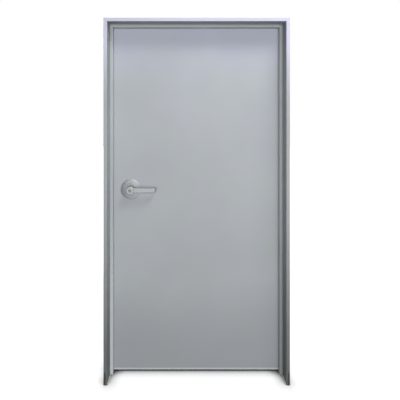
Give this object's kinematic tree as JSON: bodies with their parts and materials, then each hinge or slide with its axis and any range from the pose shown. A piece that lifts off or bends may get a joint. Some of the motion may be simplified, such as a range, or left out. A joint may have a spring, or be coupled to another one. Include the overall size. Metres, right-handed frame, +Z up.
{
  "type": "fire-rated steel door with frame",
  "caption": "Flush grey steel door leaf, closed in a deep wrap-around folded steel frame, with lever handles, latch, hinges, seals and wall anchors.",
  "frame": {"origin": "on the floor in the middle of the doorway, on the line of the two floor anchor bolts", "axes": "+Z up, +X towards the hinges, +Y the way the leaf swings open; the push side faces -Y"},
  "size_m": [1.046, 0.2516, 2.061],
  "materials": {
    "leaf_paint": "light grey satin paint",
    "frame_paint": "light grey satin paint",
    "shoe_paint": "light grey satin paint",
    "primed_steel": "grey primer",
    "steel_fittings": "brushed",
    "satin_metal": "satin",
    "key_brass": "satin nickel plated",
    "seal_rubber": "matt black",
    "mineral_core": "pressed mineral fibre"
  },
  "bodies": {
    "frame": {"jamb_lock_side": "frame_paint", "jamb_hinge_side": "frame_paint", "frame_head": "frame_paint", "corner_brackets_lock_side": "primed_steel", "corner_brackets_hinge_side": "primed_steel", "floor_anchor_lock_side": "primed_steel", "floor_anchor_hinge_side": "primed_steel", "wall_anchors_lock_side": "primed_steel", "wall_anchors_hinge_side": "primed_steel", "seal_lock_side": "seal_rubber", "seal_hinge_side": "seal_rubber", "seal_head": "seal_rubber", "strike_plate": "steel_fittings", "strike_box": "primed_steel", "strike_reinforcement": "primed_steel", "strike_screws": "steel_fittings", "frame_hinge_screws": "steel_fittings", "hinge_upper_frame_plate": "steel_fittings", "hinge_upper_pin": "steel_fittings", "hinge_upper_frame_reinforcement": "primed_steel", "hinge_middle_frame_plate": "steel_fittings", "hinge_middle_pin": "steel_fittings", "hinge_middle_frame_reinforcement": "primed_steel", "hinge_lower_frame_plate": "steel_fittings", "hinge_lower_pin": "steel_fittings", "hinge_lower_frame_reinforcement": "primed_steel"},
    "leaf": {"leaf_front_skin": "leaf_paint", "leaf_back_skin": "leaf_paint", "leaf_core": "mineral_core", "leaf_top_channel": "leaf_paint", "leaf_bottom_shoe": "shoe_paint", "leaf_hinge_screws": "steel_fittings", "lock_reinforcement": "primed_steel", "latch_tube": "steel_fittings", "latch_faceplate": "steel_fittings", "latch_screws": "steel_fittings", "latch_spring": "steel_fittings", "lock_chassis": "steel_fittings", "outer_rose": "satin_metal", "inner_rose": "satin_metal", "outer_rose_mount": "steel_fittings", "inner_rose_mount": "steel_fittings", "through_bolts": "steel_fittings", "hinge_upper_leaf_plate": "steel_fittings", "hinge_upper_leaf_reinforcement": "primed_steel", "hinge_middle_leaf_plate": "steel_fittings", "hinge_middle_leaf_reinforcement": "primed_steel", "hinge_lower_leaf_plate": "steel_fittings", "hinge_lower_leaf_reinforcement": "primed_steel"},
    "levers": {"outer_lever": "satin_metal", "inner_lever": "satin_metal", "spindle": "steel_fittings", "latch_cam": "steel_fittings"},
    "latch": {"latch_bolt": "steel_fittings", "retractor": "primed_steel"},
    "key": {"key_plug": "key_brass"},
    "button": {"turn_button": "satin_metal"}
  },
  "joints": [
    {"name": "leaf_swing", "type": "hinge", "parent": "frame", "child": "leaf", "pos_m": [0.5015, 0.0775, 1.023], "axis": [0, 0, -1], "range_deg": [0, 170], "stiffness_Nm_per_rad": 8, "springref_deg": -85.94},
    {"name": "lever_turn", "type": "hinge", "parent": "leaf", "child": "levers", "pos_m": [-0.3845, 0.0455, 1.075], "axis": [0, 1, 0], "range_deg": [0, 45], "stiffness_Nm_per_rad": 1.5, "springref_deg": -34.38},
    {"name": "latch_slide", "type": "slide", "parent": "leaf", "child": "latch", "axis": [1, 0, 0], "range_m": [0, 0.011], "deforming": ["latch_spring"]},
    {"name": "key_turn", "type": "hinge", "parent": "levers", "child": "key", "pos_m": [-0.3845, 0.0455, 1.075], "axis": [0, 1, 0], "range_deg": [0, 90]},
    {"name": "button_turn", "type": "hinge", "parent": "levers", "child": "button", "pos_m": [-0.3845, 0.0455, 1.075], "axis": [0, 1, 0], "range_deg": [0, 90]}
  ],
  "couplings": [
    {"joint": "latch_slide", "follows": "lever_turn", "m_per_rad": 0.014}
  ]
}
